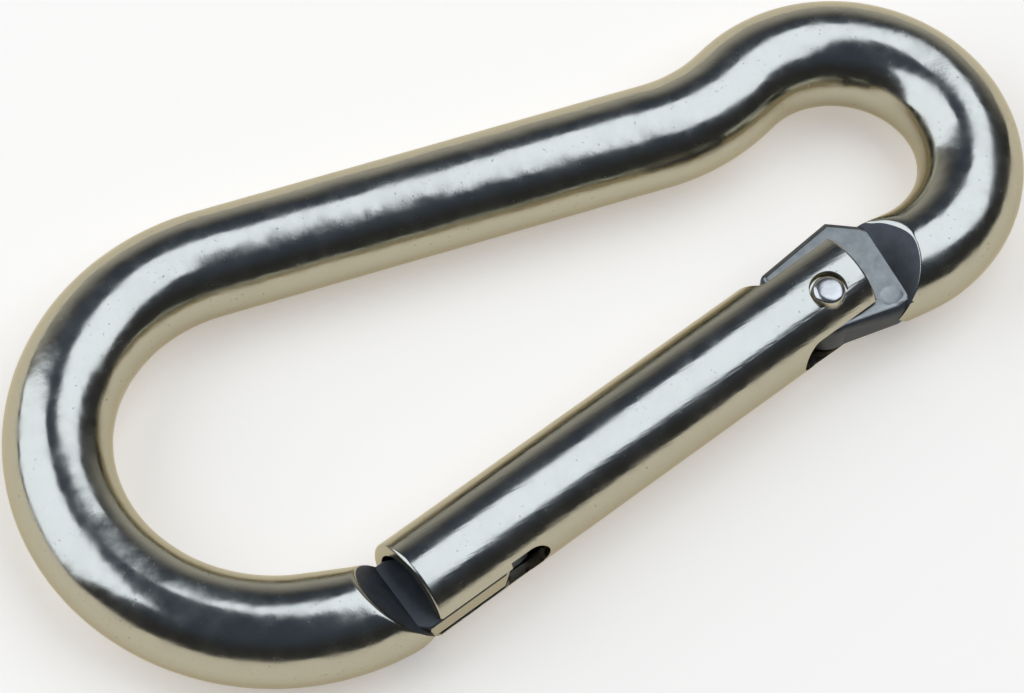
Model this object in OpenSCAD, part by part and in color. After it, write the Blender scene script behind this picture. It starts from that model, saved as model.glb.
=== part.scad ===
// Spring snap hook of round bar, with a tube gate.
// The loop lies flat on XY with Z up. The origin is below the middle of the loop, on the
// surface that it lies on. The big bow is at -X, the small bow at +X, the back at +Y.

/* [Bar and loop] */
// Diameter of the round bar
bar_d = 8; // [7:0.25:9]
// Overall length, over both bows
hook_length = 82; // [74:0.5:110]
// Overall width, across the big bow
hook_width = 39.2; // [37:0.2:44]
// Width across the small bow
eye_width = 27.8; // [26.4:0.2:30]
// From the small bow's centre to the centre line of the straight back
back_inset = 6.6; // [5.6:0.1:7.6]
// From the small bow's centre to the gate's axis
gate_inset = 7.9; // [7.4:0.1:8.8]
// Centre-line radius of the S-bend that leads the back into the small bow
kink_r = 14.4; // [11:0.2:18]
// Straight run between the S-bend and the small bow
kink_run = 1; // [0.5:0.1:2]
// How far the bar turns past the gate's direction before its hinge end, in degrees
hinge_turn = 12; // [4:1:18]

/* [Hinge tongue] */
// Thickness of the flat tongue
tongue_t = 2.9; // [2.4:0.1:3.2]
// From the foot of the small bow's centre on the gate's axis back to the tongue's shoulder
shoulder_setback = 3.8; // [3:0.1:4.6]
// From the shoulder to the pin, along the gate
pin_reach = 6; // [5.6:0.1:7]
// How far the pin lies outside the gate's axis
pin_offset = 1.4; // [1:0.1:1.6]
// Diameter of the hinge pin
pin_d = 2.4; // [2:0.1:2.8]
// Radius of the tongue's round eye about the pin
tongue_eye_r = 2.3; // [2.1:0.1:2.6]
// How far the tongue's inner edge stands above the gate's axis at its lip
lip_height = 3.6; // [3:0.1:3.8]
// How far the tongue's inner edge stands above the gate's axis at its corner
corner_height = 4.1; // [3.8:0.1:4.6]
// Radius of the lip
lip_r = 0.6; // [0.3:0.1:0.9]
// From the shoulder to the tongue's inner corner
corner_setback = 1.2; // [0.8:0.1:1.6]
// Length of the tongue's heel, along the bar's outer edge
heel_length = 1.8; // [1.2:0.1:2.4]
// Set-back of the slanted shoulders for each millimetre of height
shoulder_slant = 0.75; // [0.3:0.01:1]

/* [Nose] */
// Thickness of the nose's neck
neck_t = 1.9; // [1.5:0.1:2.1]
// Thickness of the nose's T-head
head_t = 2.9; // [2.6:0.1:3.2]
// Length of the T-head, along the gate
head_length = 2.6; // [2:0.1:3.2]
// From the gate's end to the T-head
neck_length = 6.6; // [5:0.1:8]
// From the end of the big bow back to the nose's shoulder, along the bar
nose_setback = 1.5; // [1.2:0.1:2.4]
// Set-back of the nose's slanted shoulders for each millimetre of height
nose_slant = 0.9; // [0.3:0.01:1.1]
// Radius that rounds the bar's inner side off towards the nose
nose_round = 30; // [20:1:60]
// From the start of that rounding to the nose's shoulder, along the bar's inner side
nose_round_length = 4; // [3:0.1:4.6]
// Angle at which the rounding leaves the bow, in degrees
nose_round_lead = 5; // [3:1:8]

/* [Gate] */
// Outside diameter of the gate's tube
sleeve_d = 7.8; // [7.4:0.1:8]
// Wall of the tube
sleeve_wall = 0.9; // [0.7:0.05:1.1]
// From the nose's shoulder to the tube's nose end
nose_gap = 1.2; // [0.8:0.1:1.6]
// From the pin to the tube's hinge end
pin_margin = 3.2; // [2.6:0.1:3.6]
// Height of the flat cut on the loop's side of the hinge, above the gate's axis
cut_height = 2.1; // [1.8:0.1:2.4]
// How far the flat cut starts before the tongue's tip
cut_lead = 1.1; // [1:0.1:1.6]
// Length of the slope that leads into the flat cut
cut_ramp = 1.4; // [1:0.1:2]
// Radius of the tube's rounded rims
rim_r = 0.25; // [0.1:0.05:0.35]
// Width of the ring bored round each end of the pin
pin_ring = 0.25; // [0.15:0.05:0.4]
// Height of the domes on the pin's ends
pin_dome = 0.25; // [0.2:0.05:0.6]

/* [Spring and plunger] */
// Outside diameter of the spring
spring_d = 5.4; // [5:0.1:5.6]
// Diameter of the spring wire
wire_d = 0.7; // [0.5:0.05:0.8]
// Turns of the spring
spring_turns = 12; // [8:1:15]
// Diameter of the plunger's tip
tip_d = 2.6; // [2:0.1:3]
// Length of the plunger's tip
tip_length = 3.1; // [2.8:0.1:3.6]
// Length of the plunger's guide
guide_length = 3; // [2:0.1:4]
// Length of the plunger's stem, inside the spring
stem_length = 7; // [4:0.5:10]

/* [Clearances] */
// Room on each side of the nose and the tongue in their slots
slot_room = 0.2; // [0.15:0.05:0.3]
// Radial room of the hinge pin in the tongue
pin_room = 0.05; // [0.02:0.01:0.1]
// Radial room of the plunger in the tube
guide_room = 0.1; // [0.03:0.01:0.1]
// Gap between pieces that touch end to end
end_gap = 0.1; // [0.05:0.01:0.2]

/* [Hidden] */
$fn = 96;

polished_steel = [0.72, 0.73, 0.74];
forged_steel = [0.55, 0.56, 0.57];
spring_steel = [0.45, 0.46, 0.48];

// The loop's centre line
bar_r = bar_d / 2;
big_r = (hook_width - bar_d) / 2;
eye_r = (eye_width - bar_d) / 2;
centre_gap = hook_length - (hook_width + eye_width) / 2;
big_x = (hook_width - hook_length) / 2;
eye_x = (hook_length - eye_width) / 2;
back_angle = asin((big_r - back_inset) / centre_gap);
gate_angle = asin((big_r - gate_inset) / centre_gap);
bend_sum = kink_r + eye_r;
kink_turn = acos((kink_r + back_inset) / norm([bend_sum, kink_run])) - atan(kink_run / bend_sum);
back_length = centre_gap * cos(back_angle) - bend_sum * sin(kink_turn) - kink_run * cos(kink_turn);
big_turn = 180 + gate_angle + back_angle;
eye_turn = 180 + kink_turn + hinge_turn - gate_angle - back_angle;

// Places along the gate's axis, from the end of the big bow
eye_foot = centre_gap * cos(gate_angle);
shoulder_s = eye_foot - shoulder_setback;
pin_s = shoulder_s - pin_reach;
sleeve_from = nose_gap - nose_setback;
sleeve_end = pin_s + pin_margin;
tongue_tip = pin_s - tongue_eye_r;
head_s = neck_length;
head_end = head_s + head_length;

// Sections of the gate
sleeve_r = sleeve_d / 2;
bore_r = sleeve_r - sleeve_wall;
pin_r = pin_d / 2;
tongue_slot = tongue_t + 2 * slot_room;
neck_slot = neck_t + 2 * slot_room;
head_slot = head_t + 2 * slot_room;
head_slot_from = head_s - 1.5 * slot_room;
head_slot_to = head_end + 2.5 * slot_room;
tab_end = head_slot_to + sleeve_wall;
tab_top = bore_r / 5;
cut_from = tongue_tip - cut_lead;
// How far the straight runs of bar reach into the bends beside them
lap = bar_r / 40;
// How far cutting shapes run past what they cut
past = bar_r / 4;
// How far a round end stands proud of the flats that run into it
proud = lip_r / 15;
// How far the edges of the flat ends lie inside the bar's outline
edge_in = bar_r / 12;

// Length of bar from the end of the small bow to the tongue's shoulder, and to the bar's end
stub_base = (eye_foot - eye_r * sin(hinge_turn) - shoulder_s) / cos(hinge_turn);
stub_length = stub_base + bar_r * shoulder_slant;
// The bar's centre line at the shoulder, across the gate's axis
stub_o = gate_inset - eye_r * cos(hinge_turn) + stub_base * sin(hinge_turn);

// Plunger and spring
guide_r = bore_r - guide_room;
tip_r = tip_d / 2;
plunger_tip = tongue_tip - end_gap;
guide_front = plunger_tip - tip_length;
guide_back = guide_front - guide_length;
hinge_slot_from = tongue_tip - tongue_slot / 2;
stem_r = spring_d / 2 - wire_d - 2 * guide_room;
spring_from = tab_end + end_gap;
spring_to = guide_back - end_gap;

// The gate's frame: X along its axis towards the hinge, Y into the loop, Z up from the bar's middle
module gate_frame() {
  translate([big_x, 0, bar_r]) rotate(gate_angle) translate([0, -big_r, 0]) children();
}

// A straight run of bar along X, with what follows at its end. It reaches into the bends on both
// sides, and is thinner by a hair so that the skins stay apart there.
module run(length) {
  translate([-lap, 0, 0]) rotate([0, 90, 0]) cylinder(r = bar_r - lap / 20, h = length + 2 * lap);
  translate([length, 0, 0]) children();
}

// A bend of the bar from X, to the left where the turn is positive, with what follows at its end
module bend(radius, turn) {
  angle = round(turn * 1000) / 1000;
  side = sign(angle);
  translate([0, side * radius, 0]) {
    rotate(side > 0 ? -90 : 90 + angle)
      rotate_extrude(angle = abs(angle)) translate([radius, 0]) circle(bar_r);
    rotate(angle) translate([0, -side * radius, 0]) children();
  }
}

// The whole bent bar from its nose end to its hinge end, before the ends are forged
module bent_loop() {
  gate_frame() rotate(180)
    bend(big_r, -big_turn) run(back_length) bend(kink_r, kink_turn)
      run(kink_run) bend(eye_r, -eye_turn) run(stub_length);
}

// The frame of the bar's hinge end: X along the bar, out of the small bow
module stub_frame() {
  translate([eye_x, 0, bar_r]) rotate(gate_angle - hinge_turn)
    translate([0, -eye_r, 0]) rotate(180) children();
}

// The frame of the nose's shoulder: X along the bar, out of the big bow
module nose_frame() {
  translate([big_x, 0, bar_r])
    rotate(gate_angle - nose_setback / big_r * 180 / PI)
      translate([0, -big_r, 0]) children();
}

// Two slanted faces that meet the flat of half thickness half_t at X = base
module chisel_cut(base, half_t, slant) {
  high = bar_r + past;
  rotate([90, 0, 0]) linear_extrude(4 * bar_r, center = true)
    polygon([
      [base + half_t * slant, 0],
      [base - (high - half_t) * slant, high],
      [base + 2 * bar_r, high],
      [base + 2 * bar_r, -high],
      [base - (high - half_t) * slant, -high]
    ]);
}

// What is taken off the bar's inner side, along a large radius that leads down to the nose
module nose_rounding() {
  inner_r = big_r - bar_r;
  translate([0, big_r, 0]) rotate(-nose_round_length / inner_r * 180 / PI) translate([0, -inner_r, 0])
    linear_extrude(4 * bar_r, center = true) difference() {
      translate([-lap, -2 * bar_r]) square(3 * bar_r);
      rotate(-nose_round_lead) translate([0, -nose_round]) circle(nose_round);
    }
}

// The flat tongue: a round eye about the pin, a lip at its tip and a corner at the shoulder
module tongue() {
  root = shoulder_s + bar_r / 2;
  eye_low = pin_offset + tongue_eye_r - proud;
  heel = stub_o - bar_r + edge_in;
  translate([pin_s, -pin_offset, 0]) cylinder(r = tongue_eye_r, h = tongue_t, center = true);
  translate([tongue_tip + lip_r, lip_height - lip_r, 0]) cylinder(r = lip_r, h = tongue_t, center = true);
  linear_extrude(tongue_t, center = true)
    polygon([
      [tongue_tip + proud, -pin_offset],
      [tongue_tip + proud, lip_height - lip_r],
      [tongue_tip + lip_r, lip_height - proud],
      [shoulder_s - corner_setback, corner_height],
      [shoulder_s + 2 * edge_in, stub_o + bar_r - edge_in],
      [root, stub_o + bar_r / 3],
      [root, stub_o - bar_r / 2],
      [shoulder_s, heel],
      [shoulder_s - heel_length, heel],
      [pin_s, -eye_low],
      [pin_s, -pin_offset]
    ]);
}

// The flat neck and the T-head on its end
module nose() {
  root = -2 * nose_setback;
  neck_end = head_s + head_length / 3;
  neck_outer = edge_in - bar_r;
  neck_inner = sqrt(pow(bore_r, 2) - pow(neck_t / 2, 2)) - slot_room;
  head_inner = sqrt(pow(bore_r, 2) - pow(head_t / 2, 2)) - 2 * slot_room;
  head_outer = bore_r - edge_in;
  linear_extrude(neck_t, center = true)
    polygon([
      [root, bar_r / 4],
      [edge_in - nose_setback, neck_inner],
      [-2 * slot_room, neck_inner],
      [2 * slot_room, head_inner],
      [neck_end, head_inner - slot_room],
      [neck_end, slot_room - head_outer],
      [head_s - sleeve_wall, neck_outer],
      [edge_in - nose_setback, neck_outer],
      [root, -bar_r / 2]
    ]);
  intersection() {
    linear_extrude(2 * head_t, center = true)
      polygon([
        [head_s, head_inner],
        [head_end - lip_r, head_inner],
        [head_end + past, head_inner - lip_r - past],
        [head_end + past, lip_r + past - head_outer],
        [head_end - lip_r, -head_outer],
        [head_s, -head_outer]
      ]);
    rotate([90, 0, 0]) linear_extrude(4 * bore_r, center = true) {
      translate([head_s - past, -head_t / 2]) square([head_length - head_t / 2 + past, head_t]);
      translate([head_end - head_t / 2, 0]) circle(d = head_t);
    }
  }
}

module hook_body() {
  color(polished_steel) difference() {
    union() {
      difference() {
        bent_loop();
        stub_frame() chisel_cut(stub_base, tongue_t / 2, shoulder_slant);
        nose_frame() {
          chisel_cut(0, neck_t / 2, nose_slant);
          nose_rounding();
        }
      }
      gate_frame() {
        tongue();
        nose();
      }
    }
    gate_frame() translate([pin_s, -pin_offset, 0])
      cylinder(r = pin_r + pin_room, h = 2 * bar_r, center = true);
  }
}

// Half section of the plain tube, with rounded rims
module sleeve_section() {
  length = sleeve_end - sleeve_from;
  translate([bore_r, sleeve_from]) square([sleeve_wall - rim_r, length]);
  translate([bore_r, sleeve_from + rim_r]) square([sleeve_wall, length - 2 * rim_r]);
  for (y = [sleeve_from + rim_r, sleeve_end - rim_r])
    translate([sleeve_r - rim_r, y]) circle(rim_r);
}

// A slot through the outer wall, with a round end at "to" or at "from"
module wall_slot(from, to, width, round_at) {
  depth = sleeve_r;
  middle = round_at == "to" ? to - width / 2 : from + width / 2;
  start = round_at == "to" ? from : middle;
  stop = round_at == "to" ? middle : to;
  translate([start, -depth - past, -width / 2]) cube([stop - start, depth, width]);
  translate([middle, -past, 0]) rotate([90, 0, 0]) cylinder(d = width, h = depth);
}

module gate_sleeve() {
  color(polished_steel) gate_frame() {
    difference() {
      rotate([90, 0, 90]) rotate_extrude() sleeve_section();
      // Keyhole for the nose
      translate([sleeve_from - past, -sleeve_r - past, -neck_slot / 2])
        cube([head_slot_from - sleeve_from + 2 * past, sleeve_r, neck_slot]);
      wall_slot(head_slot_from, head_slot_to, head_slot, "to");
      // Slot and cut-away for the tongue
      wall_slot(hinge_slot_from, sleeve_end + past, tongue_slot, "from");
      linear_extrude(2 * sleeve_d, center = true)
        polygon([
          [cut_from, cut_height],
          [cut_from - cut_ramp, sleeve_r + past],
          [sleeve_end + past, sleeve_r + past],
          [sleeve_end + past, cut_height]
        ]);
      // Pin holes, with a ring bored round each end of the pin
      translate([pin_s, -pin_offset, 0]) {
        cylinder(r = pin_r, h = 2 * sleeve_d, center = true);
        for (side = [0, 1]) mirror([0, 0, side])
          translate([0, 0, bore_r + pin_ring]) cylinder(r = pin_r + pin_ring, h = sleeve_r);
      }
    }
    // Tab bent in at the end of the keyhole, which stops the spring
    translate([head_slot_to, -bore_r - sleeve_wall / 3, -neck_slot / 2])
      cube([sleeve_wall, bore_r + sleeve_wall / 3 - tab_top, neck_slot]);
  }
}

module hinge_pin() {
  pin_top = bar_r - end_gap / 2;
  dome_r = (pow(pin_r, 2) + pow(pin_dome, 2)) / (2 * pin_dome);
  color(forged_steel) gate_frame() translate([pin_s, -pin_offset, 0])
    for (side = [0, 1]) mirror([0, 0, side])
      rotate_extrude() {
        square([pin_r, pin_top - pin_dome]);
        intersection() {
          translate([0, pin_top - pin_dome]) square([pin_r, pin_dome]);
          translate([0, pin_top - dome_r]) circle(dome_r);
        }
      }
}

// Coil of wire: the first and last turns lie close, the rest is evenly spaced
rings_per_turn = 18;
wire_sides = 8;
coil_r = (spring_d - wire_d) / 2;
close_pitch = wire_d * 1.05;
open_span = spring_to - spring_from - wire_d - 2 * close_pitch;
function coil_rise(turn) =
  turn < 1 ? turn * close_pitch
  : turn > spring_turns - 1 ? open_span + (turn - spring_turns + 2) * close_pitch
  : close_pitch + (turn - 1) * open_span / (spring_turns - 2);
function coil_point(turn, side) =
  let (reach = coil_r + wire_d / 2 * cos(side), around = 360 * turn)
  [spring_from + wire_d / 2 + coil_rise(turn) + wire_d / 2 * sin(side),
   reach * cos(around), reach * sin(around)];

module return_spring() {
  rings = rings_per_turn * spring_turns;
  points = [for (i = [0 : rings]) for (k = [0 : wire_sides - 1])
    coil_point(i / rings_per_turn, 360 * k / wire_sides)];
  walls = [for (i = [0 : rings - 1]) for (k = [0 : wire_sides - 1])
    let (a = i * wire_sides + k, b = i * wire_sides + (k + 1) % wire_sides)
    each [[a, b, a + wire_sides], [b, b + wire_sides, a + wire_sides]]];
  first = [for (k = [wire_sides - 1 : -1 : 0]) k];
  last = [for (k = [0 : wire_sides - 1]) rings * wire_sides + k];
  color(spring_steel) gate_frame() polyhedron(points, concat([first, last], walls));
}

// Plunger: a stem inside the spring, a guide in the bore and a round tip against the tongue
module plunger() {
  color(spring_steel) gate_frame() rotate([90, 0, 90]) rotate_extrude() {
    translate([0, guide_back - stem_length]) square([stem_r, stem_length]);
    translate([0, guide_back]) square([guide_r, guide_length]);
    translate([0, guide_front]) square([tip_r, plunger_tip - tip_r - guide_front]);
    intersection() {
      translate([0, plunger_tip - tip_r]) circle(tip_r);
      translate([0, plunger_tip - tip_r]) square(tip_r);
    }
  }
}

hook_body();
gate_sleeve();
hinge_pin();
return_spring();
plunger();
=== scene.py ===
# %% [markdown]
# Spring snap hook
#
# This is a snap hook bent from one polished round bar, with a sprung tube for a gate. The packed
# CAD model gives the size, the place and the moving bodies. Here each of its pieces gets a finer
# skin and the finish of real steel, and the set around it gets the photograph's light.

import bmesh
import bpy
import numpy as np
from mathutils import Matrix, Quaternion, Vector


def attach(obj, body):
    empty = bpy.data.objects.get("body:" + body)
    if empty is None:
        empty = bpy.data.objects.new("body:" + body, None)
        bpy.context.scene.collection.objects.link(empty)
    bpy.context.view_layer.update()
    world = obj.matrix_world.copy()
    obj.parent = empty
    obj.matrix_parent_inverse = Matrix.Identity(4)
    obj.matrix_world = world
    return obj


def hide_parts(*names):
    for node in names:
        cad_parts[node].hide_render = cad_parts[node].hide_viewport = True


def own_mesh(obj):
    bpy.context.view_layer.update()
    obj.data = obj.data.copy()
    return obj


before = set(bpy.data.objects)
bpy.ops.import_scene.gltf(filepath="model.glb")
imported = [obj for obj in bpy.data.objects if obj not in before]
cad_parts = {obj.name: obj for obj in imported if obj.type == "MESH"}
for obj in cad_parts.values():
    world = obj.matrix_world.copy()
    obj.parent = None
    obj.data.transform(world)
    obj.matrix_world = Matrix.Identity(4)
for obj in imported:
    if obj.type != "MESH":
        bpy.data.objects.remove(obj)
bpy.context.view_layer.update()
MM = 0.001

# %% [markdown]
# Two places on the hook fix everything else: the centres of the two bows. The gate's axis runs a
# set distance outside each centre, and so does the straight back. All lengths here are in
# millimetres, as a drawing would give them, and are turned into metres when a mesh is made.

# %% Sizes of the bent bar
BAR_R = 4.0
BIG_R, EYE_R, KINK_R = 15.6, 9.9, 14.4
BIG_CENTRE, EYE_CENTRE = np.array([-21.4, 0.0]), np.array([27.1, 0.0])
BACK_INSET, GATE_INSET, KINK_RUN = 6.6, 7.9, 1.0
HINGE_TURN = np.radians(12)

gap = EYE_CENTRE[0] - BIG_CENTRE[0]
back_angle = np.arcsin((BIG_R - BACK_INSET) / gap)
gate_angle = np.arcsin((BIG_R - GATE_INSET) / gap)
bend_sum = KINK_R + EYE_R
bend_lean = np.arctan(KINK_RUN / bend_sum)
kink_turn = np.arccos((KINK_R + BACK_INSET) / np.hypot(bend_sum, KINK_RUN)) - bend_lean
kink_length = bend_sum * np.sin(kink_turn) + KINK_RUN * np.cos(kink_turn)
back_length = gap * np.cos(back_angle) - kink_length
big_turn = np.pi + gate_angle + back_angle
eye_turn = np.pi + kink_turn + HINGE_TURN - gate_angle - back_angle

along = np.array([np.cos(gate_angle), np.sin(gate_angle)])
inward = np.array([-along[1], along[0]])
gate_start = BIG_CENTRE - BIG_R * inward
print("gate angle %.2f deg, back length %.2f mm" % (np.degrees(gate_angle), back_length))

# %% [markdown]
# A mesh is only points and faces. A surface that is a function of two parameters becomes a grid of
# points, and its faces join neighbours in the grid. So one small function makes the faces of every
# grid here, and another puts the arrays into Blender, closes the seams and turns the faces out.

# %% Grids and meshes
SEAM, SLIVER = 1e-7, 1e-8


def grid_faces(rows, columns, ring=True):
    """Four corners of each face of a grid: a point, its neighbour along the row, and the two below
    them. In a ring, the last column's neighbour is the first."""
    across = np.arange(columns if ring else columns - 1)
    down, across = (v.ravel() for v in np.meshgrid(np.arange(rows - 1), across, indexing="ij"))
    beside = (across + 1) % columns
    above, below = down * columns, (down + 1) * columns
    corners = [above + across, above + beside, below + beside, below + across]
    return np.stack(corners, 1).tolist()


def solid(name, *surfaces):
    """Joins surfaces, each given as points in mm, faces and a material's number, into one closed
    mesh in metres. Points that meet at a seam or a pole are merged, and the faces are turned
    outwards."""
    points = np.concatenate([s[0] for s in surfaces]) * MM
    first = np.cumsum([0] + [len(s[0]) for s in surfaces])
    faces = [[corner + start for corner in face]
             for (_, surface, _), start in zip(surfaces, first) for face in surface]
    numbers = np.concatenate([np.full(len(s[1]), s[2], np.int32) for s in surfaces])
    mesh = bpy.data.meshes.new(name)
    mesh.from_pydata(points.tolist(), [], faces)
    mesh.polygons.foreach_set("material_index", numbers)
    work = bmesh.new()
    work.from_mesh(mesh)
    bmesh.ops.remove_doubles(work, verts=work.verts, dist=SEAM)
    bmesh.ops.dissolve_degenerate(work, edges=work.edges, dist=SLIVER)
    bmesh.ops.recalc_face_normals(work, faces=work.faces)
    work.to_mesh(mesh)
    work.free()
    made = bpy.data.objects.new(name, mesh)
    bpy.context.scene.collection.objects.link(made)
    return made


def in_gate(s, o, z):
    """A point s along the gate's axis, o into the loop and z above the bar's middle, in the hook's
    own frame."""
    s, o, z = np.broadcast_arrays(*(np.asarray(v, float) for v in (s, o, z)))
    level = gate_start + s[..., None] * along + o[..., None] * inward
    return np.concatenate([level, z[..., None] + BAR_R], -1).reshape(-1, 3)


# %% [markdown]
# The bent bar: on the real hook, round bar is bent on rollers, so its centre line is a chain of
# straights and arcs. Along such a line the heading grows evenly with the length, so the place at
# any length is known exactly. A curve object with a bevel would be quicker, but its ends could not
# be cut on the slant, so the skin is worked out point by point from the line instead.

# %% The bar's centre line
STUB_RUN = 6.0
# Each run of the bar: its length, and its curvature, which is more than 0 in a turn to the left.
BENDS = [
    (big_turn * BIG_R, -1 / BIG_R),
    (back_length, 0.0),
    (kink_turn * KINK_R, 1 / KINK_R),
    (KINK_RUN, 0.0),
    (eye_turn * EYE_R, -1 / EYE_R),
    (STUB_RUN, 0.0),
]
SHOULDER_SETBACK, TONGUE_T, SHOULDER_SLANT = 3.8, 2.9, 0.75
NOSE_SETBACK, NECK_T, NOSE_SLANT = 1.5, 1.9, 0.9


def bar_line(s):
    """Place and heading of the centre line at length s. In each bend the heading grows by the
    curvature times the length. The place then moves by the change of the heading's sine and cosine
    over the curvature, or straight on where there is none."""
    heading = np.full(s.shape, gate_angle + np.pi)
    x, y = np.full(s.shape, gate_start[0]), np.full(s.shape, gate_start[1])
    left = s.copy()
    for length, curve in BENDS:
        step = np.clip(left, 0, length)
        after = heading + curve * step
        x = x + ((np.sin(after) - np.sin(heading)) / curve if curve else step * np.cos(heading))
        y = y + ((np.cos(heading) - np.cos(after)) / curve if curve else step * np.sin(heading))
        heading, left = after, left - step
    return x, y, heading


stub_from = sum(length for length, _ in BENDS[:-1])
stub_base = (SHOULDER_SETBACK - EYE_R * np.sin(HINGE_TURN)) / np.cos(HINGE_TURN)
print("bar length %.1f mm" % (stub_from + stub_base))

# %% [markdown]
# The ends of the bar are forged to a wedge: two slanted shoulders that lead down to the flat nose
# and to the flat tongue. So each line along the skin stops where it meets its slanted face. The
# rings near the ends are sheared to follow that rim, and the shear fades out along the bar, so that
# no face is cut and the polish runs clean to the rim. Towards the nose the bar's inner side is drawn
# in as well. Forging leaves no knife edges, so the last rows roll over each rim on a small curve.

# %% The bar's skin and its rims
# Material number 2 is painted shade: a near-black tone for the wedge ends, the neck and the tongue's
# walls, where shadow and dark reflections fall.
BRIGHT_SKIN, BRUSHED_SKIN, PAINTED_SHADE_SKIN = 0, 1, 2
RINGS, SIDES, SHEAR, ROUNDS = 320, 144, 9.0, 8
NOSE_DROP, NOSE_TAPER = 1.31, 5.0
NOSE_ROLL, HINGE_ROLL, ROLL_RISE = 0.35, 0.9, 1.2
HINGE_SHARE, HINGE_FADE, FADE_FROM, FADE_PACE = 0.6, 0.85, 0.2, 1.5


def smooth(t):
    """A step with no kink: three times t squared less twice t cubed, between 0 and 1."""
    t = np.clip(t, 0, 1)
    return t * t * (3 - 2 * t)


def nose_taper(s, side):
    """Squeezes the inner half of a ring. The inner side falls away with the square of the distance
    past the taper's start."""
    past = np.clip(1 - (s - NOSE_SETBACK) * (1 - BAR_R / BIG_R) / NOSE_TAPER, 0, None)
    return np.where(side < 0, side * (1 - NOSE_DROP / BAR_R * past**2), side)


def on_skin(s, side, height):
    """The centre line at length s, plus the side to its left and the height above it."""
    x, y, heading = bar_line(s)
    side = nose_taper(s, side)
    z = np.broadcast_to(height + BAR_R, s.shape)
    return np.stack([x - np.sin(heading) * side, y + np.cos(heading) * side, z], -1)


def roll_over(start, rim, out, slant, reach, share=1.0, rows=7):
    """A quadratic curve from the skin to the slanted face, pulled towards the rim between them. It
    ends a share of the reach down the face, where each millimetre of height goes the slant further
    out."""
    leaning = np.broadcast_to(out * slant, (SIDES, 2))
    down = np.column_stack([leaning, -np.sign(rim[:, 2] - BAR_R)]) / np.hypot(1, slant)
    q = np.linspace(0, 1, rows)[1:, None, None]
    stop = rim + share * reach[:, None] * down
    return (1 - q) ** 2 * start + 2 * q * (1 - q) * rim + q**2 * stop


def wedge_end(rim, origin, out, half_t, slant, number, rows=9):
    """Closes an end of the bar. Each column joins a point of the rim to the one below it, by way of
    the wedge's middle, where the columns are spaced by their cosines. The surface leans out by the
    slant for each millimetre that it comes nearer to the middle."""
    half = SIDES // 2
    top, low = rim[:half + 1], rim[(-np.arange(half + 1)) % SIDES]
    q = np.linspace(0, 1, rows)[:, None]
    z = top[:, 2] * (1 - q) + low[:, 2] * q - BAR_R
    lean = (half_t - np.abs(z)) * slant
    beside = np.array([-out[1], out[0]])
    across = (top[:, :2] - origin) @ beside
    spacing = (1 - np.cos(np.linspace(0, np.pi, half + 1))) / 2
    middle = across[0] + (across[-1] - across[0]) * spacing
    across = across + (middle - across) * (1 - np.abs(1 - 2 * q))
    level = origin + lean[..., None] * out + across[..., None] * beside
    level[0], level[-1] = top[:, :2], low[:, :2]
    points = np.concatenate([level, z[..., None] + BAR_R], -1).reshape(-1, 3)
    return points, grid_faces(rows, half + 1, ring=False), number


def bar_surfaces():
    """Rings at length s and angle a: radius times cos a to the left, times sin a up. At the nose, s
    starts where the skin of the bow meets the slanted plane, which is found by a few rounds because
    the taper moves it. At the hinge it stops at the other plane."""
    a = np.linspace(0, 2 * np.pi, SIDES, endpoint=False)
    side, height = BAR_R * np.cos(a), BAR_R * np.sin(a)
    over_neck, over_tongue = np.abs(height) - NECK_T / 2, np.abs(height) - TONGUE_T / 2
    first, last = NOSE_SETBACK, stub_from + stub_base
    nose_rim = np.full(SIDES, first)
    for _ in range(ROUNDS):
        bow_r = BIG_R + nose_taper(nose_rim, side)
        nose_rim = first + BIG_R * np.arcsin(over_neck * NOSE_SLANT / bow_r)
    hinge_rim = last - over_tongue * SHOULDER_SLANT
    nose_reach = NOSE_ROLL * smooth(over_neck / ROLL_RISE)
    faded = HINGE_FADE * (1 - smooth(FADE_FROM - FADE_PACE * np.cos(a)))
    hinge_reach = HINGE_ROLL * smooth(over_tongue / ROLL_RISE) * (1 - faded)
    s = np.linspace(first, last, RINGS)[:, None]
    nose_shear = (nose_rim + nose_reach - first) * (1 - smooth((s - first) / SHEAR))
    hinge_shear = (hinge_rim - hinge_reach - last) * (1 - smooth((last - s) / SHEAR))
    skin = on_skin(s + nose_shear + hinge_shear, side, height)
    x, y, heading = bar_line(np.array([first, last]))
    ends, ways = np.stack([x, y], 1), np.stack([np.cos(heading), np.sin(heading)], 1)
    nose_edge, hinge_edge = on_skin(nose_rim, side, height), on_skin(hinge_rim, side, height)
    nose_rows = roll_over(skin[0], nose_edge, -ways[0], NOSE_SLANT, nose_reach)
    hinge_rows = roll_over(
        skin[-1], hinge_edge, ways[1], SHOULDER_SLANT, hinge_reach, HINGE_SHARE)
    skin = np.concatenate([nose_rows[::-1], skin, hinge_rows])
    # Both wedge ends take the painted shade.
    return (
        (skin.reshape(-1, 3), grid_faces(len(skin), SIDES), BRIGHT_SKIN),
        wedge_end(skin[0], ends[0], -ways[0], NECK_T / 2, NOSE_SLANT, PAINTED_SHADE_SKIN),
        wedge_end(skin[-1], ends[1], ways[1], TONGUE_T / 2, SHOULDER_SLANT, PAINTED_SHADE_SKIN),
    )


bar = solid("bent_bar", *bar_surfaces())
print("bent bar:", len(bar.data.polygons), "faces")

# %% [markdown]
# The tongue and the nose are flats with an outline of their own. A flat is a ring of points carried
# from one height to another, with its two ends closed. The same function makes the tools that cut
# the slots later, because a slot is only a flat that is taken away.

# %% Flats between two rings
PIN_S, PIN_O, PIN_R, PIN_ROOM = 38.085, -1.4, 1.2, 0.05
shoulder_s = gap * np.cos(gate_angle) - SHOULDER_SETBACK
stub_o = GATE_INSET - EYE_R * np.cos(HINGE_TURN) + stub_base * np.sin(HINGE_TURN)


def between(name, low, high, number=0):
    """A closed solid between two rings of equal count: its walls join each point to its partner."""
    count = len(low)
    walls = grid_faces(2, count)
    ends = [list(range(count - 1, -1, -1)), list(range(count, 2 * count))]
    return solid(name, (np.concatenate([low, high]), walls + ends, number))


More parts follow.
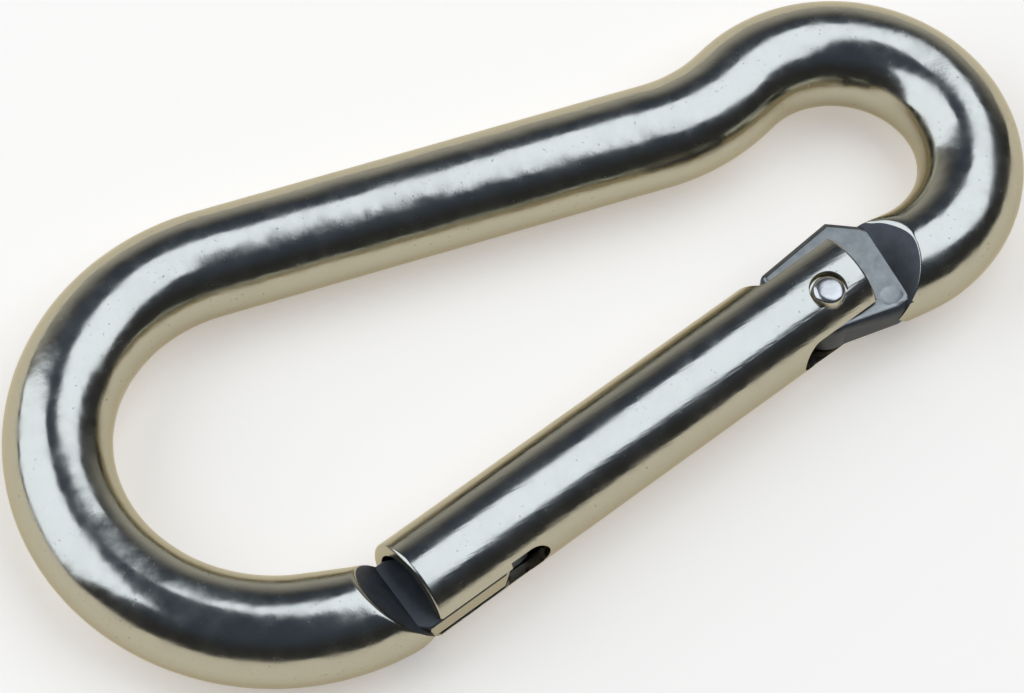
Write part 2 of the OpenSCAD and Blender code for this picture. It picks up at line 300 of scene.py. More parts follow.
def flat(name, outline, thick, middle=0.0, number=0):
    """An outline in the gate's s and o, carried from half a thickness below its middle to half a
    thickness above."""
    s, o = np.asarray(outline, float).T
    low, high = in_gate(s, o, middle - thick / 2), in_gate(s, o, middle + thick / 2)
    return between(name, low, high, number)


def inset(outline):
    """How far each corner of a closed outline moves when its sides move in by one millimetre: the
    two sides' inward normals added, over one plus their product."""
    following = np.roll(outline, -1, 0)
    way = following - outline
    way /= np.linalg.norm(way, axis=1)[:, None]
    turn = np.sign(np.sum(outline[:, 0] * following[:, 1] - outline[:, 1] * following[:, 0]))
    normal = turn * np.stack([-way[:, 1], way[:, 0]], 1)
    before = np.roll(normal, 1, 0)
    return (normal + before) / (1 + np.sum(normal * before, 1))[:, None]


def plate(name, outline, thick, edge, number, wall, spill=0, steps=6):
    """A flat whose edges are quarter rounds: near each face the outline moves in by the edge less
    its cosine, as the height rises by its sine. The edge may differ from corner to corner. The
    straight wall, and so many rows beside it as spill says, may have another material."""
    outline = np.asarray(outline, float)
    edge = np.broadcast_to(edge, len(outline))
    q = np.radians(np.linspace(0, 90, steps))[:, None]
    drawn_in, z = edge * (1 - np.cos(q)), thick / 2 - edge + edge * np.sin(q)
    drawn_in, z = np.concatenate([drawn_in[::-1], drawn_in]), np.concatenate([-z[::-1], z])
    rings = outline + drawn_in[..., None] * inset(outline)
    points, count = in_gate(rings[..., 0], rings[..., 1], z), len(outline)
    ends = [list(range(count - 1, -1, -1)), list(range(len(points) - count, len(points)))]
    sides = grid_faces(len(z), count)
    low, high = (steps - 1 - spill) * count, (steps + spill) * count
    walls, faces = sides[low:high], sides[:low] + sides[high:] + ends
    return solid(name, (points, walls, wall), (points, faces, number))


def spun(name, s, o, radius, z, number=0, sides=72):
    """A profile of radii and heights carried round an upright axis at s, o."""
    a = np.linspace(0, 2 * np.pi, sides, endpoint=False)
    radius, z = np.asarray(radius, float)[:, None], np.asarray(z, float)[:, None]
    points = in_gate(s + radius * np.cos(a), o + radius * np.sin(a), z + 0 * a)
    return solid(name, (points, grid_faces(len(radius), sides), number))


def arc(s, o, radius, start, stop, count=24):
    """Points on a circle about s, o from one angle to another, in degrees from the gate's
    direction."""
    a = np.radians(np.linspace(start, stop, count))
    return np.stack([s + radius * np.cos(a), o + radius * np.sin(a)], 1)


def circle(s, o, radius, count):
    """An arc that goes all the way round, and stops one step short of where it started."""
    return arc(s, o, radius, 0, 360 - 360 / count, count)


# %% [markdown]
# The tongue has a round eye about the pin, a lip at its tip and a corner at the shoulder, and on its
# heel the press left a shallow round mark. The nose has a thin neck and a T-shaped head that the
# gate's keyhole drops over. Their edges are rounded by the press, most of all at the heel, so each
# flat is a stack of rings that move in as they near its faces.

# %% The hinge tongue
TIP_S, EYE_LOW = 35.785, 2.3
LIP_R, LIP_HEIGHT, CORNER_HEIGHT, CORNER_SETBACK, HEEL_LENGTH = 0.6, 3.6, 4.1, 1.2, 1.8
EDGE_IN, TONGUE_EDGE, HEEL_EDGE = BAR_R / 12, 0.5, 0.95
heel = stub_o - BAR_R + EDGE_IN
root = shoulder_s + BAR_R / 2
tongue_outline = np.concatenate([
    arc(PIN_S, PIN_O, EYE_LOW, 270, 180),
    arc(TIP_S + LIP_R, LIP_HEIGHT - LIP_R, LIP_R, 180, 90, 8),
    [[shoulder_s - CORNER_SETBACK, CORNER_HEIGHT],
     [shoulder_s + 2 * EDGE_IN, stub_o + BAR_R - EDGE_IN],
     [root, stub_o + BAR_R / 3], [root, stub_o - BAR_R / 2],
     [shoulder_s, heel], [shoulder_s - HEEL_LENGTH, heel]],
])
tongue_edge = np.full(len(tongue_outline), TONGUE_EDGE)
tongue_edge[-2:] = HEEL_EDGE
# The tongue's walls, and the rows beside them, take the painted shade.
tongue = plate("tongue", tongue_outline, TONGUE_T, tongue_edge,
               number=BRUSHED_SKIN, wall=PAINTED_SHADE_SKIN, spill=3)

pin_hole = flat("pin_hole", circle(PIN_S, PIN_O, PIN_R + PIN_ROOM, 48), 4 * BAR_R,
                number=BRUSHED_SKIN)

MARK_S, MARK_O, MARK_R, MARK_DEPTH = 42.45, -3.85, 0.95, 0.07
dish_r = np.linspace(0, MARK_R, 9)
dish_z = TONGUE_T / 2 - MARK_DEPTH * (1 - (dish_r / MARK_R) ** 4)
press_mark = spun("press_mark", MARK_S, MARK_O, np.concatenate([dish_r, [MARK_R, 0]]),
                  np.concatenate([dish_z, [TONGUE_T, TONGUE_T]]), number=BRUSHED_SKIN)
print("tongue", len(tongue.data.polygons), "faces")

# %% The nose's neck and T-head
BORE_R, HEAD_T, HEAD_S, HEAD_LENGTH = 3.0, 2.9, 6.6, 2.6
SLOT_ROOM, NECK_EDGE, NECK_STEP = 0.2, 0.2, 0.9
neck_in = np.sqrt(BORE_R**2 - (NECK_T / 2) ** 2) - SLOT_ROOM
head_in = np.sqrt(BORE_R**2 - (HEAD_T / 2) ** 2) - 2 * SLOT_ROOM
neck_out, head_out = BAR_R - EDGE_IN, BORE_R - EDGE_IN
neck_end = HEAD_S + HEAD_LENGTH / 3
neck_outline = [
    [-2 * NOSE_SETBACK, BAR_R / 4], [EDGE_IN - NOSE_SETBACK, neck_in],
    [-2 * SLOT_ROOM, neck_in], [2 * SLOT_ROOM, head_in],
    [neck_end, head_in - SLOT_ROOM], [neck_end, SLOT_ROOM - head_out],
    [HEAD_S - NECK_STEP, -neck_out], [EDGE_IN - NOSE_SETBACK, -neck_out],
    [-2 * NOSE_SETBACK, -BAR_R / 2],
]
# The neck's faces take the painted shade, and its walls stay polished.
neck = plate("neck", neck_outline, NECK_T, NECK_EDGE, number=PAINTED_SHADE_SKIN, wall=BRIGHT_SKIN)


def t_head(steps=17):
    """A stack of rectangles along the axis. Their half width is straight and then follows a half
    round, and their two ends draw in by a chamfer over the last part."""
    q = np.radians(np.linspace(0, 90, steps))
    s = np.concatenate([[HEAD_S], HEAD_S + HEAD_LENGTH - HEAD_T / 2 * (1 - np.sin(q))])[:, None]
    half = np.concatenate([[HEAD_T / 2], HEAD_T / 2 * np.cos(q)])[:, None]
    draw = np.clip(s - (HEAD_S + HEAD_LENGTH - LIP_R), 0, None)
    o = np.where([0, 1, 1, 0], head_in - draw, draw - head_out)
    points = in_gate(s, o, half * [1, 1, -1, -1])
    # The head takes the painted shade as well.
    return solid("head", (points, grid_faces(len(s), 4) + [[0, 1, 2, 3]], PAINTED_SHADE_SKIN))


head = t_head()
print("neck", len(neck.data.polygons), "faces, head", len(head.data.polygons), "faces")

# %% [markdown]
# Now the pieces are joined and cut as a smith and a press would do it. A Boolean modifier does the
# sum, the result is kept as the mesh, and the tools are thrown away. Shading is smooth over the
# curves and breaks only at true corners. Cut edges on real steel are always a little round, and that
# is what makes them catch the light, so a Bevel rounds the ones that a tool has cut.

# %% Join, cut and round
def settle(piece):
    """Keeps what the modifiers make as the piece's own mesh."""
    view = bpy.context.evaluated_depsgraph_get()
    old = piece.data
    piece.data = bpy.data.meshes.new_from_object(
        piece.evaluated_get(view), preserve_all_data_layers=True, depsgraph=view)
    piece.modifiers.clear()
    piece.data.name = piece.name
    bpy.data.meshes.remove(old)


def combine(piece, operation, *tools):
    """Adds the tools to the piece or takes them away."""
    for tool in tools:
        change = piece.modifiers.new(tool.name, "BOOLEAN")
        change.object, change.operation, change.solver = tool, operation, "EXACT"
        change.material_mode = "TRANSFER"
    settle(piece)
    for tool in tools:
        mesh = tool.data
        bpy.data.objects.remove(tool)
        bpy.data.meshes.remove(mesh)


def shade(piece, sharp=35):
    """Shades the faces smooth, apart from edges that turn by more than the sharp angle."""
    piece.data.shade_smooth()
    piece.data.set_sharp_from_angle(angle=np.radians(sharp))
    weigh = piece.modifiers.new("shading", "WEIGHTED_NORMAL")
    weigh.keep_sharp = True
    settle(piece)


def round_edges(piece, width, sharp=40, segments=3):
    """Rounds every edge that turns by more than the sharp angle, to a width in mm."""
    edge = piece.modifiers.new("edges", "BEVEL")
    edge.width, edge.segments = width * MM, segments
    edge.limit_method, edge.angle_limit = "ANGLE", np.radians(sharp)
    edge.use_clamp_overlap = False
    settle(piece)


def report(piece):
    """Prints how many faces a piece has, and its box in mm."""
    corners = np.empty((len(piece.data.vertices), 3), np.float32)
    piece.data.vertices.foreach_get("co", corners.ravel())
    box = (corners.min(0) / MM).round(2), (corners.max(0) / MM).round(2)
    print(piece.name, len(piece.data.polygons), "faces, box", *box)


# %% [markdown]
# Each material is written as arithmetic on sockets, because that reads like the recipe it is. A Wire
# is one socket: adding or multiplying wires adds the Math nodes. Every other node comes from one
# method that takes its type, its settings and what goes into its sockets.

# %% Shader arithmetic
class Wire:
    """One output socket of a finish. Arithmetic on it adds Math nodes to the same finish."""

    def __init__(self, finish, socket):
        self.finish, self.socket = finish, socket

    def maths(self, operation, *values):
        """A Math node that works on two values or wires."""
        return self.finish.node("ShaderNodeMath", {"operation": operation}, dict(enumerate(values)))

    def __add__(self, other):
        return self.maths("ADD", self, other)

    def __radd__(self, other):
        return self.maths("ADD", other, self)

    def __mul__(self, other):
        return self.maths("MULTIPLY", self, other)

    def __rmul__(self, other):
        return self.maths("MULTIPLY", other, self)

    def top(self, other):
        """The greater of the two."""
        return self.maths("MAXIMUM", self, other)

    def ramp(self, low, high):
        """0 below the first number, 1 above the second, and smooth between them."""
        sockets = {"Value": self, "From Min": low, "From Max": high}
        return self.finish.node("ShaderNodeMapRange", {"interpolation_type": "SMOOTHSTEP"}, sockets)


class Finish:
    """A material and its node tree."""

    def __init__(self, name, tree=None):
        if tree is None:
            self.material = bpy.data.materials.new(name)
            self.material.use_nodes = True
            tree = self.material.node_tree
        self.tree = tree
        self.tree.nodes.clear()

    def node(self, kind, settings=None, sockets=None, out=0):
        """Adds a node: its settings first, then a value or a wire for each socket. One of its
        outputs comes back as a wire."""
        made = self.tree.nodes.new(kind)
        for key, value in (settings or {}).items():
            setattr(made, key, value)
        for key, value in (sockets or {}).items():
            if isinstance(value, Wire):
                self.tree.links.new(value.socket, made.inputs[key])
            else:
                made.inputs[key].default_value = value
        return Wire(self, made.outputs[out]) if len(made.outputs) else None

    def place(self, scale=(1, 1, 1), turn=(0, 0, 0)):
        """Object coordinates, turned and stretched."""
        point = self.node("ShaderNodeTexCoord", out="Object")
        sockets = {"Vector": point, "Rotation": turn, "Scale": scale}
        return self.node("ShaderNodeMapping", {}, sockets)

    def noise(self, size, detail=2.0, rough=0.5, at=None):
        """Noise whose lumps are about that many millimetres across."""
        sockets = {"Vector": at or self.place(), "Scale": 1 / (size * MM)}
        sockets.update({"Detail": detail, "Roughness": rough})
        return self.node("ShaderNodeTexNoise", {}, sockets)

    def blend(self, share, low, high):
        """A colour between two others."""
        sockets = {0: share, 6: low, 7: high}
        return self.node("ShaderNodeMix", {"data_type": "RGBA"}, sockets, out=2)

    def relief(self, *layers):
        """Bumps that lie on each other, each given as a height and its depth in millimetres."""
        under = {}
        for height, depth in layers:
            sockets = {"Height": height, "Distance": depth * MM, "Strength": 1.0, **under}
            under = {"Normal": self.node("ShaderNodeBump", {}, sockets)}
        return under["Normal"]

    def steel(self, **sockets):
        """The finished metal, with its values and wires named as on the shader."""
        named = {key.replace("_", " ").title(): value for key, value in sockets.items()}
        shader = self.node("ShaderNodeBsdfPrincipled", {}, {"Metallic": 1.0, **named})
        self.node("ShaderNodeOutputMaterial", {}, {"Surface": shader})
        return self.material


# %% [markdown]
# Polished stainless bar is a mirror with faults. The polish follows the bar's slight unevenness, so
# the lights in it waver. It has tiny pits where grains came out, and a haze of fine scratches that
# blurs the edges of each highlight.

# %% Polished bar
POLISH, PIT = (0.468, 0.430, 0.318, 1), (0.20, 0.19, 0.145, 1)
EDGE_TINT = (0.88, 0.825, 0.69, 1)
POLISH_ROUGH, HAZE_ROUGH, PIT_ROUGH, PIT_SHADE = 0.13, 0.10, 0.12, 0.6


def polish(finish, pits, haze, *layers):
    """Bright steel over the layers of its relief. Pits darken it, and pits and haze roughen it."""
    return finish.steel(
        base_color=finish.blend(pits * PIT_SHADE, POLISH, PIT),
        roughness=POLISH_ROUGH + HAZE_ROUGH * haze + PIT_ROUGH * pits,
        specular_tint=EDGE_TINT,
        normal=finish.relief(*layers),
    )


def polished_bar():
    """The relief goes from wide waves down to fine grain, as the bar's own does."""
    finish = Finish("polished_bar")
    waves = finish.noise(size=5.0, detail=1.0)
    ripple = finish.noise(size=2.2, detail=1.0)
    crumbs = finish.noise(size=0.8, detail=1.0)
    grain = finish.noise(size=0.16, detail=2.0, rough=0.6)
    pits = finish.noise(size=0.26, detail=1.0).ramp(0.70, 0.78)
    haze = finish.noise(size=1.8, detail=4.0, rough=0.6).ramp(0.3, 0.7)
    layers = (waves, 0.12), (ripple, 0.035), (crumbs, 0.006), (grain, 0.003)
    return polish(finish, pits, haze, *layers)


# %% [markdown]
# The forged ends were pressed hot. The tongue was brushed afterwards, so it is grey and a little
# uneven, with marks left by the die. The shoulder behind it, the nose and the tongue's walls get a
# near-black tone that is painted shade, for the shadow and dark reflections there. One recipe with
# two tones gives both.

# %% Forged ends
# The second tone is painted shade: near black, for the places where shadow and dark reflections fall.
BRUSHED, PAINTED_SHADE_TONE = np.array([0.255, 0.246, 0.196]), np.array([0.072, 0.072, 0.065])
MOTTLE, MOTTLE_ROUGH = 0.12, 0.10


def forged(name, tone, rough, metal):
    """Lumps and grain for the relief, and patches in which the tone and the roughness vary."""
    finish = Finish(name)
    lumps = finish.noise(size=1.6, detail=3.0)
    grain = finish.noise(size=0.14, detail=3.0, rough=0.65)
    patches = finish.noise(size=0.9, detail=3.0)
    dark, light = (*tone * (1 - MOTTLE), 1), (*tone * (1 + MOTTLE), 1)
    return finish.steel(
        base_color=finish.blend(patches.ramp(0.3, 0.7), dark, light),
        metallic=metal,
        roughness=rough + MOTTLE_ROUGH * patches,
        normal=finish.relief((lumps, 0.03), (grain, 0.006)),
    )


# %% Bend, forge and finish the hook
skins = (
    polished_bar(),
    forged("brushed_ends", BRUSHED, rough=0.27, metal=1.0),
    # The last finish is the painted shade.
    forged("painted_shade_ends", PAINTED_SHADE_TONE, rough=0.40, metal=0.45),
)
for part in (bar, tongue, neck, head, pin_hole, press_mark):
    for skin in skins:
        part.data.materials.append(skin)
combine(bar, "UNION", tongue, neck, head)
combine(bar, "DIFFERENCE", pin_hole, press_mark)
shade(bar)
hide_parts("hook_body")
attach(bar, "hook")
report(bar)

# %% [markdown]
# The gate is a tube. Its outer side has a keyhole at the nose end and a slot at the hinge end, and
# its inner side is cut flat at the hinge so that the tongue can turn. The tube is a ring of wall
# carried round the axis, and the cuts follow as they would on a milling machine. The tab that stops
# the spring is pressed in last, so it is joined once the cut edges are round.

# %% Gate tube
SLEEVE_R, SLEEVE_FROM, SLEEVE_END, RIM_R = 3.9, -0.3, 41.285, 0.25


def turned(s, radius, sides=192):
    """A profile of places along the gate's axis and radii, carried round that axis: o is the radius
    times cos a, z times sin a."""
    a = np.linspace(0, 2 * np.pi, sides, endpoint=False)
    s, radius = np.asarray(s, float)[:, None], np.asarray(radius, float)[:, None]
    points = in_gate(s + 0 * a, radius * np.cos(a), radius * np.sin(a))
    return points, grid_faces(len(s), sides), 0


def sleeve():
    """The wall's outline: along the bore, over a rounded rim, back along the outside, over the other
    rim and to the bore."""
    q = np.radians(np.linspace(0, 90, 7))
    rim_s, rim_r = RIM_R - RIM_R * np.cos(q), SLEEVE_R - RIM_R + RIM_R * np.sin(q)
    near, far = SLEEVE_FROM + rim_s, SLEEVE_END - rim_s[::-1]
    s = np.concatenate([[SLEEVE_FROM], near, far, [SLEEVE_END, SLEEVE_FROM]])
    r = np.concatenate([[BORE_R], rim_r, rim_r[::-1], [BORE_R, BORE_R]])
    return solid("gate_tube", turned(s, r))


gate = sleeve()
print("gate tube:", len(gate.data.polygons), "faces before it is cut")

# %% The gate's cuts
NECK_SLOT, HEAD_SLOT, TONGUE_SLOT = 2.3, 3.3, 3.3
HEAD_SLOT_FROM, HEAD_SLOT_TO, HINGE_SLOT_FROM = 6.3, 9.7, 34.135
CUT_FROM, CUT_HEIGHT, CUT_RAMP, CUTTER_R, PIN_RING = 34.685, 2.1, 1.4, 0.5, 0.25
OVERRUN, SLOT_FLOOR, SLOT_LAP = 1.0, -1.0, 2.0


def slot(name, start, stop, width, rounded):
    """A slot through the outer wall, with a half round end at its start or at its stop."""
    half = width / 2
    if rounded == "stop":
        outline = [[[start, -half]], arc(stop - half, 0, half, -90, 90, 33), [[start, half]]]
    else:
        outline = [[[stop, half]], arc(start + half, 0, half, 90, 270, 33), [[stop, -half]]]
    s, z = np.concatenate(outline).T
    return between(name, in_gate(s, -SLEEVE_R - OVERRUN, z), in_gate(s, SLOT_FLOOR, z))


def block(name, s, o, z):
    """A straight-sided cutter or tab between pairs of places."""
    outline = [[s[0], o[0]], [s[1], o[0]], [s[1], o[1]], [s[0], o[1]]]
    return flat(name, outline, z[1] - z[0], (z[0] + z[1]) / 2)


def upright(name, radius, low, high):
    """A round tool along the pin's axis."""
    return flat(name, circle(PIN_S, PIN_O, radius, 64), high - low, (low + high) / 2)


def cut_away():
    """The cutter's outline: a flat, a ramp, and between them an arc as round as the cutter. The arc
    starts along the flat at the cutter's radius times the tangent of half the ramp's angle."""
    top, end = SLEEVE_R + OVERRUN, SLEEVE_END + OVERRUN
    ramp = np.arctan2(top - CUT_HEIGHT, CUT_RAMP)
    middle = CUT_FROM + CUTTER_R * np.tan(ramp / 2), CUT_HEIGHT + CUTTER_R
    corner = arc(*middle, CUTTER_R, 270 - np.degrees(ramp), 270, 9)
    rest = [[end, CUT_HEIGHT], [end, top], [CUT_FROM - CUT_RAMP, top]]
    return flat("cut_away", np.concatenate([corner, rest]), 4 * SLEEVE_R)


neck_sides = -NECK_SLOT / 2, NECK_SLOT / 2
ring_r, ring_low, beyond = PIN_R + PIN_RING, BORE_R + PIN_RING, 2 * SLEEVE_R
tools = [
    block("neck_slot", (SLEEVE_FROM - OVERRUN, HEAD_SLOT_FROM + SLOT_LAP),
          (-SLEEVE_R - OVERRUN, SLOT_FLOOR), neck_sides),
    slot("head_slot", HEAD_SLOT_FROM, HEAD_SLOT_TO, HEAD_SLOT, "stop"),
    slot("hinge_slot", HINGE_SLOT_FROM, SLEEVE_END + OVERRUN, TONGUE_SLOT, "start"),
    cut_away(),
    upright("pin_way", PIN_R, -beyond, beyond),
    upright("top_ring", ring_r, ring_low, beyond),
    upright("low_ring", ring_r, -beyond, -ring_low),
]
combine(gate, "DIFFERENCE", *tools)
print("gate tube:", len(gate.data.polygons), "faces before its edges are rounded")

# %% The gate's edges and its tab
GATE_EDGE, TAB_TOP, TAB_LENGTH, TAB_ROOT = 0.07, 0.6, 0.9, 0.3
round_edges(gate, GATE_EDGE)
tab = block("tab", (HEAD_SLOT_TO, HEAD_SLOT_TO + TAB_LENGTH), (-BORE_R - TAB_ROOT, -TAB_TOP),
            neck_sides)
combine(gate, "UNION", tab)
print("gate tube:", len(gate.data.polygons), "faces with its tab")

# %% [markdown]
# The tube was drawn through a die and then buffed along its length, so its marks are long thin lines
# along the axis. The pattern is turned to the gate's direction and stretched along it.

# %% Drawn and buffed tube
def polished_tube():
    """The polish of the bar with its own relief, in which the drawn lines lie over the waves."""
    finish = Finish("polished_tube")
    drawn = finish.place(scale=(0.05, 1, 1), turn=(0, 0, -gate_angle))
    lines = finish.noise(size=0.22, detail=2.0, rough=0.6, at=drawn)
    waves = finish.noise(size=6.0, detail=1.0)
    crumbs = finish.noise(size=0.9, detail=1.0)
    grain = finish.noise(size=0.16, detail=2.0, rough=0.6)
    pits = finish.noise(size=0.26, detail=1.0).ramp(0.71, 0.79)
    haze = finish.noise(size=2.0, detail=4.0, rough=0.6).ramp(0.3, 0.7)
    layers = (waves, 0.08), (crumbs, 0.005), (lines, 0.008), (grain, 0.003)
    return polish(finish, pits, haze, *layers)


gate.data.materials.clear()
gate.data.materials.append(polished_tube())
shade(gate)
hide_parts("gate_sleeve")
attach(gate, "gate")
report(gate)

# %% [markdown]
# The pin is a plain rivet. Both of its ends are hammered nearly flat with rounded edges, and sit in a
# ring bored in the tube, so a dark line shows round each bright end.

# %% Riveted pin
PIN_TOP, PIN_DOME, PIN_SHANK, PIN_EDGE = 3.95, 0.25, 3.0, 0.06
PIN_DULL, PIN_BRIGHT = (0.48, 0.445, 0.35, 1), (0.58, 0.535, 0.425, 1)


def rivet():
    """The end's height falls by the dome's height times the sixth power of the share of the radius.
    Then come the shank and the other end."""
    r = np.linspace(0, PIN_R, 15)
    z = PIN_TOP - PIN_DOME * (r / PIN_R) ** 6
    radius = np.concatenate([r, [PIN_R, PIN_R], r[::-1]])
    height = np.concatenate([z, [PIN_SHANK, -PIN_SHANK], -z[::-1]])
    return spun("rivet_pin", PIN_S, PIN_O, radius, height)


def pin_steel():
    """Hammered steel: dents give its relief and its roughness, and the grain its tone."""
    finish = Finish("pin_steel")
    dents = finish.noise(size=0.8, detail=2.0)
    grain = finish.noise(size=0.12, detail=2.0, rough=0.6)
    return finish.steel(
        base_color=finish.blend(grain, PIN_DULL, PIN_BRIGHT),
        roughness=0.18 + 0.12 * dents,
        normal=finish.relief((dents, 0.015), (grain, 0.003)),
    )


pin = rivet()
pin.data.materials.append(pin_steel())
round_edges(pin, PIN_EDGE)
shade(pin)
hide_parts("hinge_pin")
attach(pin, "gate")
report(pin)

# %% [markdown]
# Inside the tube a coil spring pushes a stepped plunger against the tongue. Little of it shows, only
# through the slots, but it is what shuts the gate. The coil is a small circle carried along a helix,
# with its first and last turns lying close.

# %% Return spring
SPRING_FROM, SPRING_TO, WIRE_R, COIL_R, TURNS = 10.7, 29.485, 0.35, 2.35, 12
CLOSE_PITCH, SLIDE = 1.05, 1.05
WIRE_DULL, WIRE_BRIGHT = (0.36, 0.36, 0.37, 1), (0.52, 0.52, 0.53, 1)


def coil(rings_per_turn=40, sides=16):
    """The wire's middle goes round the axis once a turn and rises by the pitch. The wire's skin lies
    its radius away, out and along."""
    turn = np.linspace(0, TURNS, TURNS * rings_per_turn + 1)[:, None]
    close = 2 * WIRE_R * CLOSE_PITCH
    span = SPRING_TO - SPRING_FROM - 2 * WIRE_R - 2 * close
    rise = np.interp(turn, [0, 1, TURNS - 1, TURNS], [0, close, close + span, span + 2 * close])
    a, b = np.linspace(0, 2 * np.pi, sides, endpoint=False), 2 * np.pi * turn
    s, reach = SPRING_FROM + WIRE_R + rise + WIRE_R * np.sin(a), COIL_R + WIRE_R * np.cos(a)
    points = in_gate(s, reach * np.cos(b), reach * np.sin(b))
    last = len(turn) * sides
    caps = [list(range(sides)), list(range(last - 1, last - sides - 1, -1))]
    return solid("coil_spring", (points, grid_faces(len(turn), sides) + caps, 0))


def spring_wire():
    """Drawn wire: one fine noise gives its tone, its roughness and its relief."""
    finish = Finish("spring_wire")
    drawn = finish.noise(size=0.2, detail=3.0, rough=0.6)
    return finish.steel(
        base_color=finish.blend(drawn, WIRE_DULL, WIRE_BRIGHT),
        roughness=0.28 + 0.14 * drawn,
        normal=finish.relief((drawn, 0.006)),
    )


spring = coil()
spring.data.materials.append(spring_wire())
spring.data.shade_smooth()
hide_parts("return_spring")
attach(spring, "gate")
anchor = Vector(in_gate(SPRING_FROM, 0, 0)[0] * MM)
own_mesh(spring)
report(spring)

# %% [markdown]
# The plunger is turned from bar: a stem inside the coil, a guide that fills the bore and a round tip
# that rests on the tongue. A profile carried round the axis gives it all at once.

# %% Plunger
GUIDE_BACK, GUIDE_FRONT, PLUNGER_TIP, STEM_LENGTH = 29.585, 32.585, 35.685, 7.0
GUIDE_R, STEM_R, TIP_R, PLUNGER_EDGE = 2.9, 1.8, 1.3, 0.12
PLUNGER_DULL, PLUNGER_BRIGHT = (0.44, 0.44, 0.45, 1), (0.56, 0.56, 0.57, 1)


def plunger_rod():
    """Places and radii: up the stem's end, along it, over the guide, along the tip and round its
    end."""
    q = np.radians(np.linspace(0, 90, 13))
    stem = GUIDE_BACK - STEM_LENGTH
    tip = PLUNGER_TIP - TIP_R + TIP_R * np.sin(q)
    s = np.concatenate([[stem, stem, GUIDE_BACK, GUIDE_BACK, GUIDE_FRONT, GUIDE_FRONT], tip])
    r = np.concatenate([[0, STEM_R, STEM_R, GUIDE_R, GUIDE_R, TIP_R], TIP_R * np.cos(q)])
    return solid("spring_plunger", turned(s, r, sides=96))


def plunger_steel():
    """Turned steel: the tool's marks run round the axis, so their noise is stretched across it."""
    finish = Finish("plunger_steel")
    lathe = finish.place(scale=(1, 0.1, 0.1), turn=(0, 0, -gate_angle))
    tool_marks = finish.noise(size=0.3, detail=2.0, rough=0.6, at=lathe)
    return finish.steel(
        base_color=finish.blend(tool_marks, PLUNGER_DULL, PLUNGER_BRIGHT),
        roughness=0.24 + 0.12 * tool_marks,
        normal=finish.relief((tool_marks, 0.006)),
    )


plunger = plunger_rod()
plunger.data.materials.append(plunger_steel())
round_edges(plunger, PLUNGER_EDGE)
shade(plunger)
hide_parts("plunger")
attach(plunger, "plunger")
report(plunger)

# %% [markdown]
# The set is what polished steel shows. The floor is pale, and part of its paleness is given as light
# that only the camera and mirrors see, so that it reads white without flooding the hook.

# %% Floor
FLOOR_TINT = (0.95, 0.825, 0.605, 1)
FLOOR_SHEEN = (0.98, 0.945, 0.91, 1)
FLOOR_GLOW, REACH = 0.37, 2500


def floor_finish():
    """A matt floor, plus a glow that is there only for rays that look at it."""
    finish = Finish("pale_floor")
    straight, mirrored, through = (
        finish.node("ShaderNodeLightPath", out=name)
        for name in ("Is Camera Ray", "Is Glossy Ray", "Is Transmission Ray"))
    seen = straight.top(mirrored).top(through)
    matt = finish.node("ShaderNodeBsdfDiffuse", {}, {"Color": FLOOR_TINT})
    sockets = {"Color": FLOOR_SHEEN, "Strength": seen * FLOOR_GLOW}
    glow = finish.node("ShaderNodeEmission", {}, sockets)
    both = finish.node("ShaderNodeAddShader", {}, {0: matt, 1: glow})
    finish.node("ShaderNodeOutputMaterial", {}, {"Surface": both})
    return finish.material


square = np.array([[-1, -1, 0], [1, -1, 0], [1, 1, 0], [-1, 1, 0]])
floor = solid("floor", (square * REACH, [[0, 1, 2, 3]], 0))
floor.data.materials.append(floor_finish())
print("floor", 2 * REACH * MM, "m across")

# %% [markdown]
# The room above is dark, and two large soft lights stand in it: one overhead to the right, one like
# a window behind on the left. Between them the steel stays nearly black, as it does in the
# photograph. Behind the hook the room gets lighter towards the floor, which softens the upper edge
# of every bend.

# %% Lights
DAYLIGHT = np.array([1.47, 1.72, 2.36])
LAMP_AIM, LAMP_AWAY = Vector((0, 0, 0.004)), 0.70


def soft_light(name, across, up, width, height, roll):
    """A softbox in the direction that lies "across" round from +X and "up" above the floor, facing
    the hook and rolled, in degrees. Daylight is the brightness that a mirror shows of it, so its
    power is that times pi times its area."""
    a, e = np.radians((across, up))
    out = Vector((np.cos(e) * np.cos(a), np.cos(e) * np.sin(a), np.sin(e)))
    lamp = bpy.data.lights.new(name, "AREA")
    lamp.shape, lamp.size, lamp.size_y = "RECTANGLE", width, height
    lamp.color = DAYLIGHT / max(DAYLIGHT)
    lamp.energy = max(DAYLIGHT) * np.pi * width * height
    holder = bpy.data.objects.new(name, lamp)
    holder.location = LAMP_AIM + LAMP_AWAY * out
    facing = out.to_track_quat("Z", "Y") @ Quaternion((0, 0, 1), np.radians(roll))
    holder.rotation_euler = facing.to_euler()
    bpy.context.scene.collection.objects.link(holder)
    print(name, "%.2f W" % lamp.energy)


soft_light("overhead_softbox", across=-5.5, up=61.4, width=0.775, height=0.636, roll=18)
soft_light("window_light", across=142, up=33.5, width=0.80, height=0.76, roll=-4)

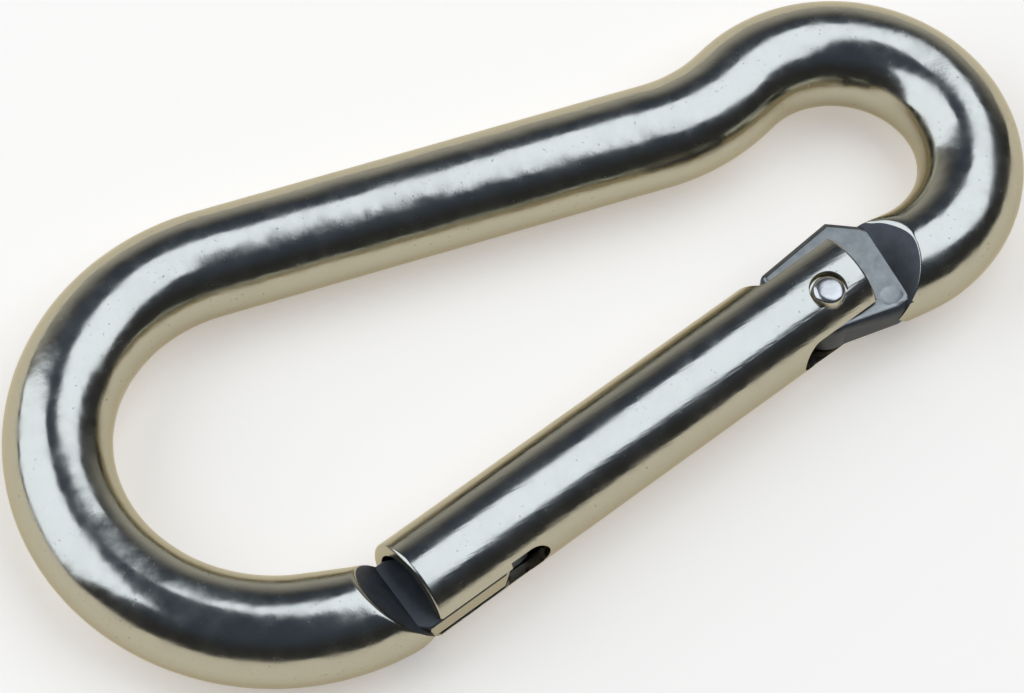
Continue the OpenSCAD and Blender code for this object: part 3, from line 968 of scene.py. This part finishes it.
# %% Room
LOW_DARK, HIGH_DARK = (0.040, 0.043, 0.052, 1), (0.060, 0.083, 0.140, 1)
FAR_WALL, FAR_SIDE = (0.54, 0.565, 0.62, 1), np.radians(62)
world = bpy.data.worlds.new("dark_room")
bpy.context.scene.world = world
world.use_nodes = True
room = Finish("dark_room", world.node_tree)
way = room.node("ShaderNodeTexCoord", out="Generated")
up = room.node("ShaderNodeSeparateXYZ", {}, {0: way}, out="Z")
sockets = {0: way, 1: (np.cos(FAR_SIDE), np.sin(FAR_SIDE), 0)}
far = room.node("ShaderNodeVectorMath", {"operation": "DOT_PRODUCT"}, sockets, out="Value")
ceiling = room.blend(up.ramp(0.35, 0.80), LOW_DARK, HIGH_DARK)
walls = room.blend(up.ramp(0.65, 0.08) * far.ramp(0.5, 0.95), ceiling, FAR_WALL)
glow = room.node("ShaderNodeBackground", {}, {"Color": walls, "Strength": 1.0})
room.node("ShaderNodeOutputWorld", {}, {"Surface": glow})
print("room:", len(world.node_tree.nodes), "nodes")

# %% [markdown]
# The camera looks down at the hook from the gate's side. Its place is given as a photographer would
# say it: what it is aimed at, how far away, how far round, how steep, and how much it is tilted.

# %% Camera
AIM, DISTANCE = Vector((-2.5, -1.73, 4.0)) * MM, 340.2 * MM
ROUND, STEEP, TILT = np.radians((34.46, 59.44, 4.42))
LENS, SENSOR, NEAREST = 163.5, 36, 0.01
back = Vector((-np.sin(ROUND) * np.cos(STEEP), -np.cos(ROUND) * np.cos(STEEP), np.sin(STEEP)))
level = Vector((np.cos(ROUND), -np.sin(ROUND), 0))
right = level * np.cos(TILT) + back.cross(level) * np.sin(TILT)
facing = Matrix((right, back.cross(right), back)).transposed().to_4x4()
lens = bpy.data.cameras.new("camera")
lens.lens, lens.sensor_width, lens.clip_start = LENS, SENSOR, NEAREST
camera = bpy.data.objects.new("camera", lens)
camera.matrix_world = Matrix.Translation(AIM + back * DISTANCE) @ facing
bpy.context.scene.collection.objects.link(camera)
bpy.context.scene.camera = camera
bpy.context.scene.view_settings.view_transform = "Standard"
print("camera at", tuple(round(v, 4) for v in camera.location))
